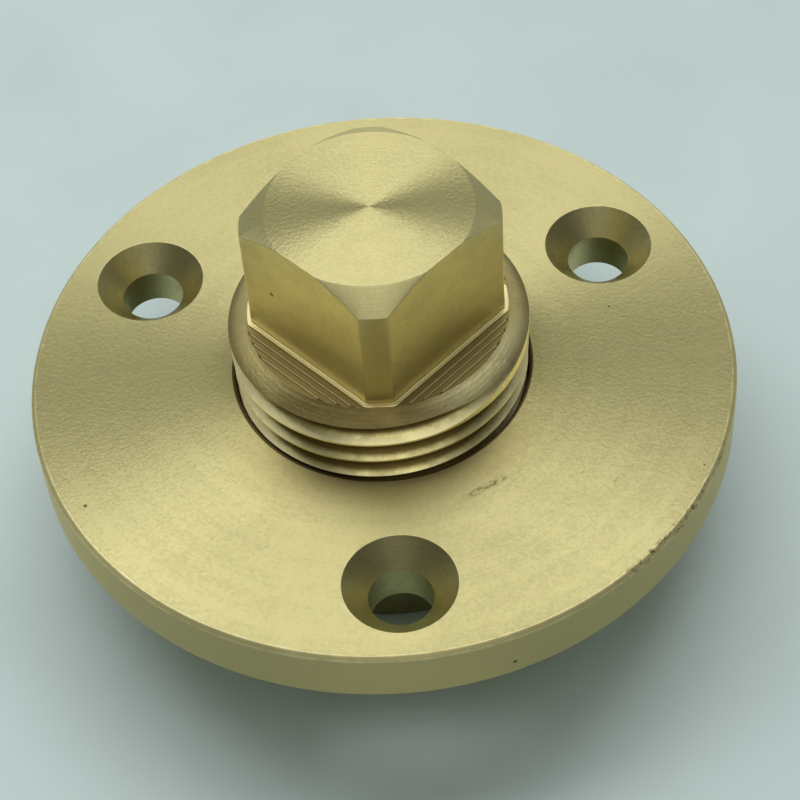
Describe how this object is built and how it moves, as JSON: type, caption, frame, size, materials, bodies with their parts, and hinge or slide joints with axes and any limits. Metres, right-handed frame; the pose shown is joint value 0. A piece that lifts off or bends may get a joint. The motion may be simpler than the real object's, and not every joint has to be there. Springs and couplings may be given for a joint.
{
  "type": "flanged drain plug and socket",
  "caption": "Round flanged drain socket with countersunk screw holes and a square-head taper-thread plug screwed part-way into its hub.",
  "frame": {"origin": "middle of the flange's underside, the face that seats on the hull or tank wall, on the thread axis", "axes": "+Z out of the wall along the thread axis, towards the plug's square head; one screw hole lies on -Y and the other two at 30 and 150 degrees from +X"},
  "size_m": [0.0508, 0.0508, 0.0306],
  "materials": {
    "turned_brass": "turned yellow brass, satin, bare",
    "plug_brass": "turned and milled yellow brass, satin, bare"
  },
  "bodies": {
    "socket": {"drain_socket": "turned_brass"},
    "plug": {"square_head_plug": "plug_brass"}
  },
  "joints": [
    {"name": "plug_unscrew", "type": "hinge", "parent": "socket", "child": "plug", "pos_m": [0, 0, 0.0045], "axis": [0, 0, 1], "range_deg": [0, 1665]}
  ]
}
